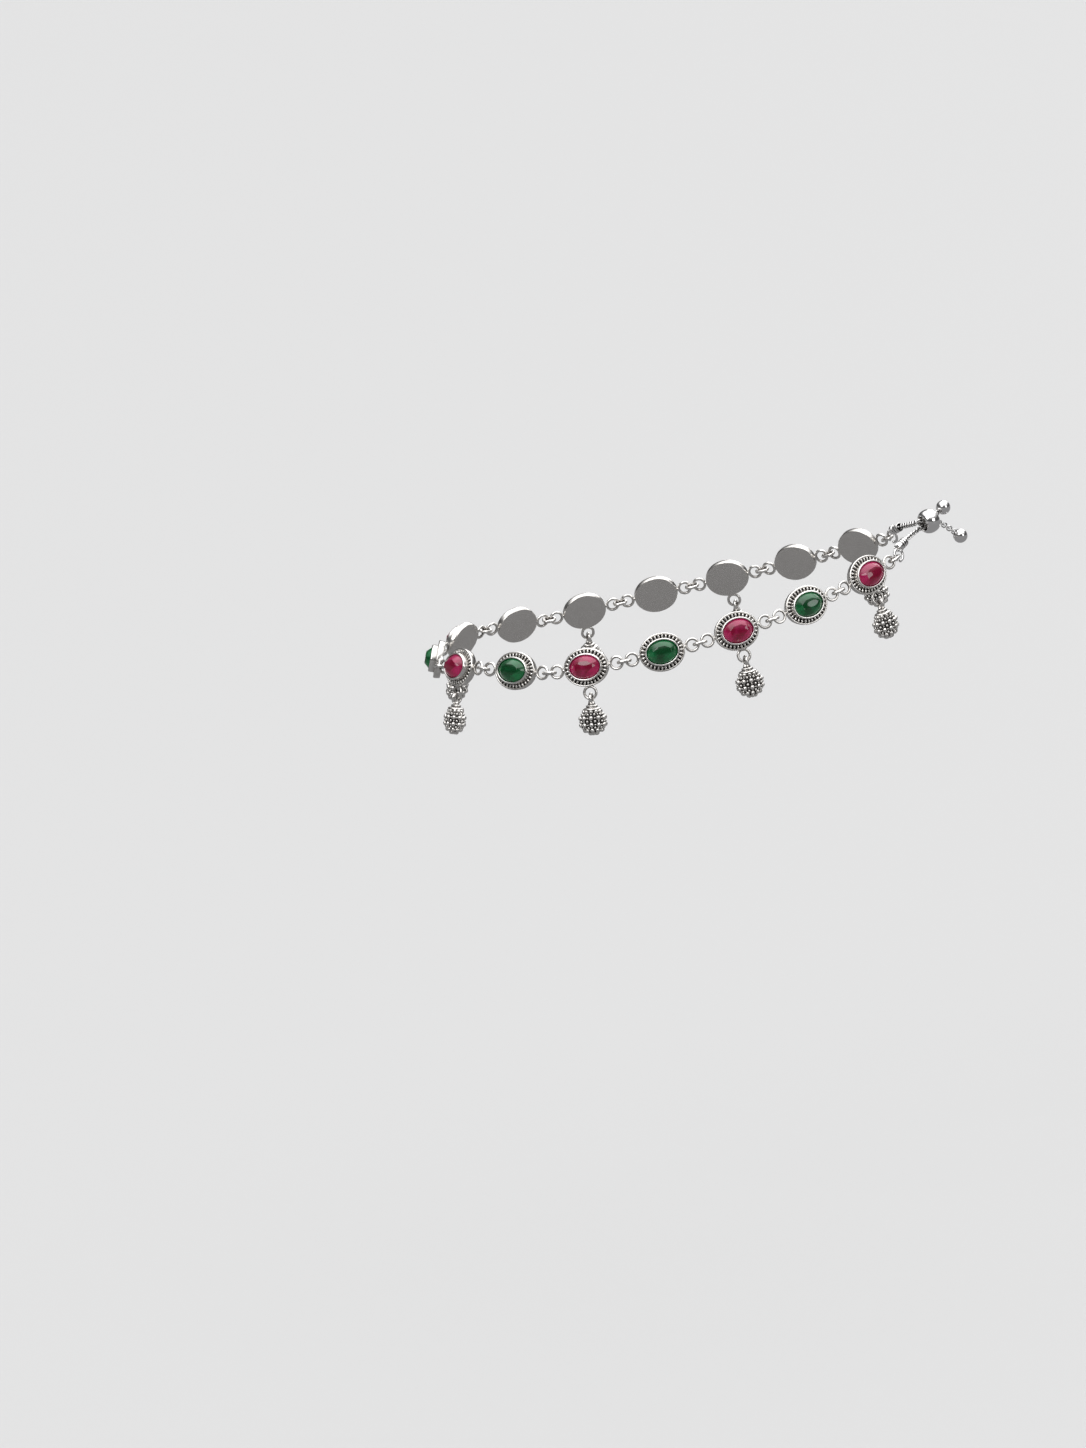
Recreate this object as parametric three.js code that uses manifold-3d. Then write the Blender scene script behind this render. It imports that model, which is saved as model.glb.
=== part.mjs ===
// Payal anklet: oval stone plates linked in a loop, berry drops and a sliding clasp at the heel.
// Millimetres, +Z up. The origin is the middle of the loop, +X points to the heel.
import * as THREE from 'three';
import { mergeVertices } from 'three/addons/utils/BufferGeometryUtils.js';
import Module from 'manifold-3d';

const wasm = await Module();
wasm.setup();

// Loop as it lies round the ankle
const loopLength = 102.6; // instep to heel
const loopWidth = 64.9; // across the ankle
const loopRise = 30.3; // the heel side lies this much above the instep side

// Plates
const platesEachSide = 7; // besides the one at the front
const plateLength = 9.5;
const plateHeight = 8.0;
const plateThickness = 1.4;
const plateBackInset = 0.15;
const rimWidth = 0.41;
const channelWidth = 0.7;
const channelDepth = 0.35;
const grainLift = 0.4;
const bezelWidth = 0.46;
const bezelHeight = 1.3; // above the rim
const bezelUndercut = 0.2;
const seatFloor = 0.2; // stone seat below the rim's top face
const plateSides = 14;

// Stones
const stoneGap = 0.15;
const stoneBelow = 0.45; // girdle to the point of the underside
const girdleBelowLip = 0.25;
const crownHeight = 1.3;
const crownBreak = 0.6; // share of the crown's height at its middle facets
const breakInset = 0.55;
const tableShare = 0.5; // table as a share of the stone

// Wire rings soldered on the plates
const ringWire = 0.58;
const ringDiameter = 3.1;
const ringStandOff = 0.05; // side rings, on their solder
const lowerRingSink = 0.3; // the ring below is soldered straight to the plate
const ringSides = 10;
const wireSides = 5;
const solderWidth = 0.6;
const solderSink = 0.4; // into the plate and into the ring

// Links between the plates
const linkSpan = 0.78; // between the two ring wires that a link holds
const linkWire = 0.7;
const linkClearance = 0.2;

// Berry drops
const dropWire = 0.7;
const bailClearance = 0.3;
const berryWidth = 6.3;
const berryHeight = 6.1;
const berryDepth = 4.3;
const berryBelowBail = 4.6; // middle of the bail to the middle of the berry
const studLift = 0.35;
const studColumns = 10;
const studRows = 4;
const studFrom = -62; // latitude of the lowest row, in degrees
const studTo = 42;
const collarDiameter = 3.8;
const collarThickness = 0.5;
const neckDiameter = 2.2;
const neckHeight = 0.6;
const dropFollow = 0.6; // how far a drop leans with its plate instead of hanging plumb

// End caps
const capLength = 2.9;
const capDiameter = 2.1;
const capThroatDiameter = 1.75;
const capShoulder = 0.6;
const capBand = 0.7;
const capStep = 0.3;
const capSocketDiameter = 1.5;
const capSocketDepth = 1.2;
const capForward = 2.0; // from the held wire to the cap's face
const capAbove = 1.2; // the cap's axis above the held wire
const capProngs = 5;
const prongLength = 0.6;
const openRingFrom = 252; // degrees
const openRingTo = 560;

// Box chain strands, slider and tail balls
const strandDiameter = 1.2;
const strandSides = 8;
const strandGap = 0.24; // between the strands in the slider
const strandEndGap = 0.2; // to the bottom of the cap's socket
const strandLead = 0.9; // straight run before the slider
const strandSteps = 18;
const sliderDiameter = 5.1;
const sliderLength = 3.3;
const sliderBore = 2.9;
const sliderLip = 0.2; // from the bore out to the crest of each end
const sliderSides = 14;
const sliderCorners = 8;
const sliderOut = 5.54; // the middle of the slider beyond the tips of the end caps
const sliderLift = 2.75; // and above them
const sliderTurn = 30; // degrees about the vertical
const sliderPitch = 16; // degrees, the tail side up
const ballDiameter = 3.0;
const ballSides = 10;
const upperTail = { past: 2.5, up: 0.82 }; // slider's face to the middle of the ball
const lowerTail = { past: 5.02, up: -5.17 };

// Half of the loop from the heel to the instep, the other half is its mirror image.
// along and across are shares of the half length and half width, up is a share of the rise,
// and lean is how far the plates lie back, in degrees.
const loopRows = [
  { along: 1.0, across: 0.0, up: 0.551, lean: 20 },
  { along: 0.906, across: 0.336, up: 0.395, lean: 20 },
  { along: 0.643, across: 0.665, up: 0.201, lean: 17 },
  { along: 0.259, across: 0.919, up: -0.007, lean: 13 },
  { along: -0.174, across: 1.0, up: -0.194, lean: 12 },
  { along: -0.574, across: 0.853, up: -0.327, lean: 14 },
  { along: -0.866, across: 0.497, up: -0.345, lean: 16 },
  { along: -1.0, across: 0.0, up: -0.448, lean: 10 },
];

const oxidisedSilver = { color: 0xb9b4ae, roughness: 0.35, metalness: 0.95 };
const polishedSilver = { color: 0xe4e2df, roughness: 0.12, metalness: 1.0 };
const rubyRed = { color: 0xaa1955, roughness: 0.15, metalness: 0.0 };
const stoneGreen = { color: 0x0a6e32, roughness: 0.15, metalness: 0.0 };

const vertical = new THREE.Vector3(0, 0, 1);
const degrees = Math.PI / 180;
const halfRing = ringDiameter / 2;
const ringWireRadius = halfRing - ringWire / 2; // middle of the wire
const ringOut = plateLength / 2 + ringStandOff + halfRing; // middle of the plate to that of a side ring
const eyeReach = ringOut + ringWireRadius; // to the wire that a link holds
const lowerRingDown = plateHeight / 2 - lowerRingSink + halfRing;
const rimTop = plateThickness / 2;
const bezelTop = rimTop + bezelHeight;
const bezelFoot = rimWidth + channelWidth;
const bezelLip = bezelFoot + bezelWidth;

const group = new THREE.Group();

function addPiece(name, geometry, matrix, finish) {
  const piece = new THREE.Mesh(geometry, new THREE.MeshStandardMaterial(finish));
  piece.name = name;
  matrix.decompose(piece.position, piece.quaternion, piece.scale);
  group.add(piece);
}

// A closed skin over rows of points. Rows run anticlockwise seen from the end, from the bottom up.
// A row of one point closes an end, and a row may have twice the points of its neighbour.
function skin(rows) {
  const triangles = [];
  let start = 0;
  for (let row = 0; row + 1 < rows.length; row += 1) {
    const lower = rows[row].length;
    const upper = rows[row + 1].length;
    const steps = Math.max(lower, upper);
    const above = start + lower;
    for (let step = 0; step < steps; step += 1) {
      const lowFrom = Math.floor((step * lower) / steps);
      const lowTo = Math.floor(((step + 1) * lower) / steps) % lower;
      const highFrom = Math.floor((step * upper) / steps);
      const highTo = Math.floor(((step + 1) * upper) / steps) % upper;
      if (lowFrom !== lowTo) triangles.push(start + lowFrom, start + lowTo, above + highTo);
      if (highFrom !== highTo) triangles.push(start + lowFrom, above + highTo, above + highFrom);
    }
    start = above;
  }
  const geometry = new THREE.BufferGeometry();
  geometry.setFromPoints(rows.flat());
  geometry.setIndex(triangles);
  return geometry;
}

function toSolid(geometry) {
  const bare = geometry.clone();
  bare.deleteAttribute('normal');
  bare.deleteAttribute('uv');
  const merged = mergeVertices(bare, 1e-4);
  const vertProperties = new Float32Array(merged.attributes.position.array);
  const triVerts = new Uint32Array(merged.index.array);
  return new wasm.Manifold(new wasm.Mesh({ numProp: 3, vertProperties, triVerts }));
}

function joined(geometries) {
  let solid = toSolid(geometries[0]);
  for (const geometry of geometries.slice(1)) solid = solid.add(toSolid(geometry));
  const mesh = solid.getMesh();
  const result = new THREE.BufferGeometry();
  result.setAttribute('position', new THREE.BufferAttribute(new Float32Array(mesh.vertProperties), 3));
  result.setIndex(new THREE.BufferAttribute(new Uint32Array(mesh.triVerts), 1));
  return result;
}

// Points on an oval inside the plate's outline, at a height above the plate's middle plane
function ovalRow(inset, height, count) {
  const row = [];
  for (let i = 0; i < count; i += 1) {
    const angle = (2 * Math.PI * i) / count;
    const x = (plateLength / 2 - inset) * Math.cos(angle);
    const y = (plateHeight / 2 - inset) * Math.sin(angle);
    row.push(new THREE.Vector3(x, y, height));
  }
  return row;
}

function channelRow() {
  const floor = rimTop - channelDepth;
  const row = ovalRow(rimWidth + channelWidth / 2, floor, plateSides * 2);
  for (let i = 0; i < row.length; i += 2) row[i].z += grainLift;
  return row;
}

function plateBody() {
  return skin([
    [new THREE.Vector3(0, 0, -rimTop)],
    ovalRow(plateBackInset, -rimTop, plateSides),
    ovalRow(0, rimTop, plateSides),
    ovalRow(rimWidth, rimTop, plateSides),
    channelRow(),
    ovalRow(bezelFoot, bezelTop, plateSides),
    ovalRow(bezelLip, bezelTop, plateSides),
    ovalRow(bezelLip - bezelUndercut, rimTop - seatFloor, plateSides),
    [new THREE.Vector3(0, 0, rimTop - seatFloor)],
  ]);
}

function wireRing() {
  return new THREE.TorusGeometry(ringWireRadius, ringWire / 2, wireSides, ringSides);
}

function solderPost() {
  return new THREE.BoxGeometry(solderWidth, ringStandOff + 2 * solderSink, solderWidth);
}

function plateWithRings(withLowerRing) {
  const parts = [plateBody()];
  for (const side of [-1, 1]) {
    parts.push(wireRing().translate(side * ringOut, 0, 0));
    const post = side * (plateLength / 2 + ringStandOff / 2);
    parts.push(solderPost().rotateZ(Math.PI / 2).translate(post, 0, 0));
  }
  if (withLowerRing) parts.push(wireRing().rotateZ(Math.PI / 2).translate(0, -lowerRingDown, 0));
  return joined(parts);
}

function cutStone() {
  const girdleInset = bezelLip - bezelUndercut / 2 + stoneGap;
  const girdle = bezelTop - girdleBelowLip;
  const tableInset = girdleInset + (plateHeight / 2 - girdleInset) * (1 - tableShare);
  return skin([
    [new THREE.Vector3(0, 0, girdle - stoneBelow)],
    ovalRow(girdleInset, girdle, plateSides),
    ovalRow(girdleInset + breakInset, girdle + crownHeight * crownBreak, plateSides),
    ovalRow(tableInset, girdle + crownHeight, plateSides / 2),
    [new THREE.Vector3(0, 0, girdle + crownHeight)],
  ]);
}

// A wire link lying in the plane of the loop's way and its outward direction
function wireLink() {
  const radius = ringWire / 2 + linkClearance + linkWire / 2;
  const straight = linkSpan / 2;
  const geometry = new THREE.TorusGeometry(radius, linkWire / 2, wireSides, ringSides);
  const position = geometry.attributes.position;
  for (let i = 0; i < position.count; i += 1) {
    const x = position.getX(i);
    position.setX(i, x + Math.sign(x) * straight);
  }
  return geometry.rotateX(Math.PI / 2);
}

// Points round the flattened ball at a latitude, every second one lifted where there are studs
function ballRow(latitude, count, lift) {
  const row = [];
  for (let i = 0; i < count; i += 1) {
    const angle = (2 * Math.PI * i) / count;
    const proud = studLift * (1 - (i % 2 === 1 ? lift : 0));
    const x = (berryWidth / 2 - proud) * Math.cos(latitude) * Math.cos(angle);
    const y = (berryDepth / 2 - proud) * Math.cos(latitude) * Math.sin(angle);
    row.push(new THREE.Vector3(x, y, (berryHeight / 2 - proud) * Math.sin(latitude)));
  }
  return row;
}

function roundRow(diameter, height, count) {
  const row = [];
  for (let i = 0; i < count; i += 1) {
    const angle = (2 * Math.PI * i) / count;
    row.push(new THREE.Vector3((diameter / 2) * Math.cos(angle), (diameter / 2) * Math.sin(angle), height));
  }
  return row;
}

// A drop about the middle of its bail, which stands across the ring that carries it
function berryDrop() {
  const rows = [[new THREE.Vector3(0, 0, -berryHeight / 2)]];
  const spacing = (studTo - studFrom) / (studRows - 1);
  for (let row = 0; row < studRows; row += 1) {
    const latitude = studFrom + row * spacing;
    rows.push(ballRow(latitude * degrees, 2 * studColumns, 1));
    if (row + 1 < studRows) rows.push(ballRow((latitude + spacing / 2) * degrees, studColumns, 0));
  }
  const collarBase = berryHeight / 2 - collarThickness;
  const collarTop = collarBase + collarThickness;
  rows.push(roundRow(collarDiameter, collarBase, studColumns));
  rows.push(roundRow(collarDiameter, collarTop, studColumns));
  rows.push(roundRow(neckDiameter, collarTop + neckHeight, studColumns));
  rows.push([new THREE.Vector3(0, 0, collarTop + neckHeight)]);
  const body = skin(rows).translate(0, 0, -berryBelowBail);
  const bailRadius = ringWire / 2 + bailClearance + dropWire / 2;
  const bail = new THREE.TorusGeometry(bailRadius, dropWire / 2, wireSides, ringSides);
  return joined([body, bail.rotateY(Math.PI / 2)]);
}

function wireSection(diameter, sides) {
  const outline = new THREE.Shape();
  for (let i = 0; i < sides; i += 1) {
    const angle = (2 * Math.PI * i) / sides;
    const x = (diameter / 2) * Math.cos(angle);
    const y = (diameter / 2) * Math.sin(angle);
    if (i === 0) outline.moveTo(x, y);
    else outline.lineTo(x, y);
  }
  return outline;
}

// An open ring of wire whose held point is at the origin
function openRing() {
  const points = [];
  for (let i = 0; i <= ringSides; i += 1) {
    const angle = (openRingFrom + ((openRingTo - openRingFrom) * i) / ringSides) * degrees;
    const x = ringWireRadius * (1 + Math.cos(angle));
    points.push(new THREE.Vector3(x, ringWireRadius * Math.sin(angle), 0));
  }
  const extrudePath = new THREE.CatmullRomCurve3(points);
  const section = wireSection(ringWire, wireSides);
  return new THREE.ExtrudeGeometry(section, { steps: ringSides, extrudePath });
}

function endCap() {
  const outer = capDiameter / 2;
  const throat = capThroatDiameter / 2;
  const socket = capSocketDiameter / 2;
  const profile = [
    [0, 0],
    [throat, 0],
    [outer, capShoulder],
    [outer, capShoulder + capBand],
    [throat, capShoulder + capBand + capStep],
    [throat, capLength],
    [socket, capLength],
    [socket, capLength - capSocketDepth],
    [0, capLength - capSocketDepth],
  ].map(([radius, height]) => new THREE.Vector2(radius, height));
  const cup = new THREE.LatheGeometry(profile, ringSides).rotateZ(-Math.PI / 2);
  const parts = [openRing(), cup.translate(capForward, capAbove, 0)];
  for (let i = 0; i < capProngs; i += 1) {
    const prong = new THREE.ConeGeometry(throat / 2, prongLength * 2, 4).rotateZ(Math.PI / 2);
    const angle = (2 * Math.PI * (i + 0.25)) / capProngs;
    const y = capAbove + (throat - throat / 4) * Math.cos(angle);
    parts.push(prong.translate(capForward, y, (throat - throat / 4) * Math.sin(angle)));
  }
  return joined(parts);
}

// The loop's middle line
const loopPoints = loopRows.map(({ along, across, up }) => {
  return new THREE.Vector3((loopLength / 2) * along, -(loopWidth / 2) * across, loopRise * up);
});
const mirrored = loopPoints.slice(1, -1).reverse();
const farPoints = mirrored.map((point) => new THREE.Vector3(point.x, -point.y, point.z));
const loop = new THREE.CatmullRomCurve3([...loopPoints, ...farPoints], true);

function leanAt(share) {
  const row = (share <= 0.5 ? share : 1 - share) * 2 * (loopRows.length - 1);
  const first = Math.min(Math.floor(row), loopRows.length - 2);
  const lean = THREE.MathUtils.lerp(loopRows[first].lean, loopRows[first + 1].lean, row - first);
  return lean * degrees;
}

// Where a function that falls through nought between two shares of the loop reaches it
function crossing(value, from, to) {
  let low = from;
  let high = to;
  for (let i = 0; i < 50; i += 1) {
    const middle = (low + high) / 2;
    if (value(middle) > 0) low = middle;
    else high = middle;
  }
  return (low + high) / 2;
}

// The next place towards the heel on the near half, a straight distance away
function nextEye(share, distance) {
  const here = loop.getPoint(share);
  const furthest = share - (4 * distance) / loop.getLength();
  return crossing((place) => loop.getPoint(place).distanceTo(here) - distance, furthest, share);
}

// Shares of the loop at the wires that the links hold, from the front plate to the end cap
function nearEyes() {
  const eyes = [crossing((place) => -loop.getPoint(place).y - eyeReach, 0.25, 0.5)];
  for (let plate = 0; plate < platesEachSide; plate += 1) {
    eyes.push(nextEye(eyes.at(-1), linkSpan));
    eyes.push(nextEye(eyes.at(-1), 2 * eyeReach));
  }
  eyes.push(nextEye(eyes.at(-1), linkSpan));
  return eyes;
}

// A frame with x along a way, z level to the right of it and then leaned back, and y up
function leaningFrame(origin, along, lean) {
  const outward = new THREE.Vector3(along.y, -along.x, 0).normalize();
  const upright = new THREE.Vector3().crossVectors(outward, along);
  outward.multiplyScalar(Math.cos(lean)).addScaledVector(upright, Math.sin(lean));
  const up = new THREE.Vector3().crossVectors(outward, along);
  return new THREE.Matrix4().makeBasis(along, up, outward).setPosition(origin);
}

// The frame of a piece held between two places: x to the right seen from outside, y up, z outward
function heldFrame(from, to) {
  const start = loop.getPoint(from);
  const end = loop.getPoint(to);
  const along = end.clone().sub(start).normalize();
  const middle = start.clone().add(end).multiplyScalar(0.5);
  if (along.y * middle.x < along.x * middle.y) along.negate();
  return leaningFrame(middle, along, leanAt((from + to) / 2));
}

// The frame of a drop: x across, -y outward, z up, with the bail's middle on the lower ring's wire
function dropFrame(plateFrame) {
  const along = new THREE.Vector3();
  const up = new THREE.Vector3();
  const outward = new THREE.Vector3();
  plateFrame.extractBasis(along, up, outward);
  const hook = new THREE.Vector3(0, -(lowerRingDown + ringWireRadius), 0).applyMatrix4(plateFrame);
  up.lerp(vertical, 1 - dropFollow).normalize();
  const inward = outward.addScaledVector(up, -outward.dot(up)).normalize().negate();
  const across = new THREE.Vector3().crossVectors(inward, up);
  return new THREE.Matrix4().makeBasis(across, inward, up).setPosition(hook);
}

const rubyPlate = plateWithRings(true);
const greenPlate = plateWithRings(false);
const stone = cutStone();
const link = wireLink();
const drop = berryDrop();
const cap = endCap();

// The plates are numbered from the near end cap round the front to the far one
function addPlate(number, from, to) {
  const frame = heldFrame(from, to);
  const isRuby = number % 2 === 1;
  addPiece(`setting_${number}`, isRuby ? rubyPlate : greenPlate, frame, oxidisedSilver);
  if (isRuby) {
    addPiece(`ruby_stone_${number}`, stone, frame, rubyRed);
    addPiece(`berry_drop_${number}`, drop, dropFrame(frame), oxidisedSilver);
  } else {
    addPiece(`green_stone_${number}`, stone, frame, stoneGreen);
  }
}

const eyes = nearEyes();
const frontNumber = platesEachSide + 1;
addPlate(frontNumber, eyes[0], 1 - eyes[0]);
for (let step = 0; step <= platesEachSide; step += 1) {
  const held = eyes[2 * step];
  const holding = eyes[2 * step + 1];
  addPiece(`near_link_${frontNumber - step}`, link, heldFrame(held, holding), oxidisedSilver);
  addPiece(`far_link_${frontNumber + step}`, link, heldFrame(1 - held, 1 - holding), oxidisedSilver);
  if (step < platesEachSide) {
    const next = eyes[2 * step + 2];
    addPlate(frontNumber - 1 - step, holding, next);
    addPlate(frontNumber + 1 + step, 1 - holding, 1 - next);
  }
}

// The frame of an end cap: its held wire at the origin, x towards the heel. side is -1 on the far half.
function capFrame(share, side) {
  const half = new THREE.Vector3(1, side, 1);
  const towards = nextEye(share, capForward + capLength);
  const start = loop.getPoint(share).multiply(half);
  const along = loop.getPoint(towards).multiply(half).sub(start).normalize();
  return leaningFrame(start, along, side * leanAt(share));
}

const capEnd = capForward + capLength;
const nearCap = capFrame(eyes.at(-1), 1);
const farCap = capFrame(eyes.at(-1), -1);
const capTip = new THREE.Vector3(capEnd, capAbove, 0).applyMatrix4(nearCap);
const sliderCentre = new THREE.Vector3(capTip.x + sliderOut, 0, capTip.z + sliderLift);
const sliderAxis = new THREE.Vector3(1, 0, 0);
sliderAxis.applyAxisAngle(new THREE.Vector3(0, -1, 0), sliderPitch * degrees);
sliderAxis.applyAxisAngle(vertical, sliderTurn * degrees);
const sliderSide = new THREE.Vector3().crossVectors(vertical, sliderAxis).normalize();
const sliderUp = new THREE.Vector3().crossVectors(sliderAxis, sliderSide);

// A round bead: its outside bulges far more than its bore
function slider() {
  const section = [];
  const crest = sliderBore / 2 + sliderLip;
  const bulge = sliderDiameter / 2 - crest;
  for (let i = 0; i <= sliderCorners; i += 1) {
    const angle = (2 * Math.PI * i) / sliderCorners;
    const reach = Math.cos(angle) > 0 ? bulge : sliderLip;
    section.push(new THREE.Vector2(crest + reach * Math.cos(angle), (sliderLength / 2) * Math.sin(angle)));
  }
  return new THREE.LatheGeometry(section, sliderSides);
}

function fromSlider(along, up) {
  return sliderCentre.clone().addScaledVector(sliderAxis, along).addScaledVector(sliderUp, up);
}

// A strand from its cap's socket through the slider to its ball
function strand(frame, level, tail) {
  const offset = (level * (strandDiameter + strandGap)) / 2;
  const halfSlider = sliderLength / 2;
  const inCap = (x) => new THREE.Vector3(x, capAbove, 0).applyMatrix4(frame);
  const ballCentre = fromSlider(halfSlider + tail.past, offset + tail.up);
  const route = [
    inCap(capEnd - capSocketDepth + strandEndGap),
    inCap(capEnd),
    fromSlider(-halfSlider - strandLead, offset),
    fromSlider(-halfSlider, offset),
    fromSlider(0, offset),
    fromSlider(halfSlider, offset),
    ballCentre,
  ];
  const extrudePath = new THREE.CatmullRomCurve3(route);
  const section = wireSection(strandDiameter, strandSides);
  const tube = new THREE.ExtrudeGeometry(section, { steps: strandSteps, extrudePath });
  const ball = new THREE.SphereGeometry(ballDiameter / 2, ballSides, ballSides / 2);
  return joined([tube, ball.translate(ballCentre.x, ballCentre.y, ballCentre.z)]);
}

const asBuilt = new THREE.Matrix4();
addPiece('near_end_cap', cap, nearCap, polishedSilver);
addPiece('far_end_cap', cap, farCap, polishedSilver);
addPiece('near_chain', strand(nearCap, -1, lowerTail), asBuilt, polishedSilver);
addPiece('far_chain', strand(farCap, 1, upperTail), asBuilt, polishedSilver);
const sliderFrame = new THREE.Matrix4().makeBasis(sliderSide.clone().negate(), sliderAxis, sliderUp);
addPiece('slider_bead', slider(), sliderFrame.setPosition(sliderCentre), polishedSilver);

export default group;
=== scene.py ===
import math

import bpy
from mathutils import Matrix, Vector


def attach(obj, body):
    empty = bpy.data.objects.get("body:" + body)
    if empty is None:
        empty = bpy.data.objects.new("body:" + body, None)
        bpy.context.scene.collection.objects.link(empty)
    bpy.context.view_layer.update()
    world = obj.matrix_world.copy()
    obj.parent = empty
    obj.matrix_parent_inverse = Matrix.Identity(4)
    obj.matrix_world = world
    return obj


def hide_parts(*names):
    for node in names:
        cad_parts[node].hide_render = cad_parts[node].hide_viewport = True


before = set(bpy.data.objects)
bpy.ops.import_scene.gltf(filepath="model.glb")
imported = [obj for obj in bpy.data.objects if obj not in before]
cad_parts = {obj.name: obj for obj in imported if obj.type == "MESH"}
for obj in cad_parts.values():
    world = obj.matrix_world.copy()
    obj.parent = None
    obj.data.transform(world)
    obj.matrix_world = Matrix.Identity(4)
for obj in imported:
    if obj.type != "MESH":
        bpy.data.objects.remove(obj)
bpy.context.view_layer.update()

# Payal anklet: oval stone plates on wire links, berry drops and a sliding box-chain clasp.
# Sizes are millimetres until a piece is placed, and +X points to the clasp.
mm = 0.001
upright = Vector((0, 0, 1))
smallest = 1e-6
weldDistance = 1e-4
halvings = 50  # of a stretch in which a crossing is looked for
# Edges flatter than this, in degrees, are shaded smooth
shading = {"stone": 16, "wire": 40, "turned": 50, "spun": 60, "bead": 80}
print("frame loaded with", len(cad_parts), "nodes")


# Small helpers

def onlyActive(piece):
    bpy.ops.object.select_all(action="DESELECT")
    piece.select_set(True)
    bpy.context.view_layer.objects.active = piece


def startEdit(piece):
    onlyActive(piece)
    bpy.ops.object.mode_set(mode="EDIT")
    bpy.ops.mesh.select_mode(type="VERT")
    bpy.ops.mesh.select_all(action="SELECT")


def endEdit():
    bpy.ops.object.mode_set(mode="OBJECT")


def move(x, y, z):
    bpy.ops.transform.translate(value=(x, y, z))


def rotate(axis, angle):
    bpy.ops.transform.rotate(value=angle, orient_axis=axis, center_override=(0, 0, 0))


def stretch(x, y, z):
    bpy.ops.transform.resize(value=(x, y, z), center_override=(0, 0, 0))


def pickVertices(piece, rule):
    startEdit(piece)
    bpy.ops.mesh.select_all(action="DESELECT")
    endEdit()
    for vertex in piece.data.vertices:
        vertex.select = rule(vertex.co)
    bpy.ops.object.mode_set(mode="EDIT")


def tidyShell(piece):
    startEdit(piece)
    bpy.ops.mesh.remove_doubles(threshold=weldDistance)
    bpy.ops.mesh.normals_make_consistent(inside=False)
    endEdit()


def smooth(piece, kind="wire"):
    onlyActive(piece)
    bpy.ops.object.shade_smooth_by_angle(angle=math.radians(shading[kind]))


def bevelEdges(piece, width, degrees):
    bevel = piece.modifiers.new("Bevel", "BEVEL")
    bevel.width = width
    bevel.segments = 2
    bevel.limit_method = "ANGLE"
    bevel.angle_limit = math.radians(degrees)
    onlyActive(piece)
    bpy.ops.object.modifier_apply(modifier="Bevel")


def applyAll(piece):
    onlyActive(piece)
    bpy.ops.object.transform_apply(location=True, rotation=True, scale=True)


def joinPieces(pieces, name):
    bpy.ops.object.select_all(action="DESELECT")
    for piece in pieces:
        piece.select_set(True)
    bpy.context.view_layer.objects.active = pieces[0]
    bpy.ops.object.join()
    pieces[0].name = name
    return pieces[0]


def copyMesh(piece, name, matrix):
    mesh = piece.data.copy()
    mesh.transform(matrix)
    made = bpy.data.objects.new(name, mesh)
    bpy.context.scene.collection.objects.link(made)
    return made


def paintTarnish(piece, rule):
    layer = piece.data.attributes.new("tarnish", "FLOAT", "POINT")
    for point, vertex in zip(layer.data, piece.data.vertices):
        point.value = rule(vertex.co)


def setMaterial(piece, material):
    piece.data.materials.clear()
    piece.data.materials.append(material)


# 0 at the first value and 1 at the second, with a soft start and end
def between(low, high, value):
    share = min(1, max(0, (value - low) / (high - low)))
    return share * share * (3 - 2 * share)


# An oval face pulled up through rows of (inset from the outline, height), closed at both ends
def turnUp(length, width, rows, sides):
    inset, height = rows[0]
    bpy.ops.mesh.primitive_circle_add(vertices=sides, fill_type="NGON")
    piece = bpy.context.object
    startEdit(piece)
    stretch(length / 2 - inset, width / 2 - inset, 1)
    move(0, 0, height)
    for nextInset, nextHeight in rows[1:]:
        rise = (0, 0, nextHeight - height)
        bpy.ops.mesh.extrude_region_move(TRANSFORM_OT_translate={"value": rise})
        lengthwise = (length / 2 - nextInset) / (length / 2 - inset)
        crosswise = (width / 2 - nextInset) / (width / 2 - inset)
        stretch(lengthwise, crosswise, 1)
        inset, height = nextInset, nextHeight
    bpy.ops.mesh.select_all(action="SELECT")
    bpy.ops.mesh.normals_make_consistent(inside=False)
    endEdit()
    return piece


def wireRing(radius, wire, place=(0, 0, 0), turn=(0, 0, 0), segments=36, sides=12):
    bpy.ops.mesh.primitive_torus_add(major_radius=radius, minor_radius=wire / 2, major_segments=segments,
                                     minor_segments=sides, location=place, rotation=turn)
    piece = bpy.context.object
    applyAll(piece)
    return piece


def beadAt(size, place, segments, rings):
    bpy.ops.mesh.primitive_uv_sphere_add(segments=segments, ring_count=rings, location=place, scale=size)
    piece = bpy.context.object
    applyAll(piece)
    smooth(piece, "bead")
    return piece


# The whole loop, with the same values as the part
loop = {
    "length": 102.6,
    "width": 64.9,
    "rise": 30.3,
    "platesEachSide": 7,  # besides the one at the front
    # From the clasp to the front plate: shares along, across and up, and how far the plates lie back
    "rows": [
        (1.0, 0.0, 0.551, 20),
        (0.906, 0.336, 0.395, 20),
        (0.643, 0.665, 0.201, 17),
        (0.259, 0.919, -0.007, 13),
        (-0.174, 1.0, -0.194, 12),
        (-0.574, 0.853, -0.327, 14),
        (-0.866, 0.497, -0.345, 16),
        (-1.0, 0.0, -0.448, 10),
    ],
}

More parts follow.
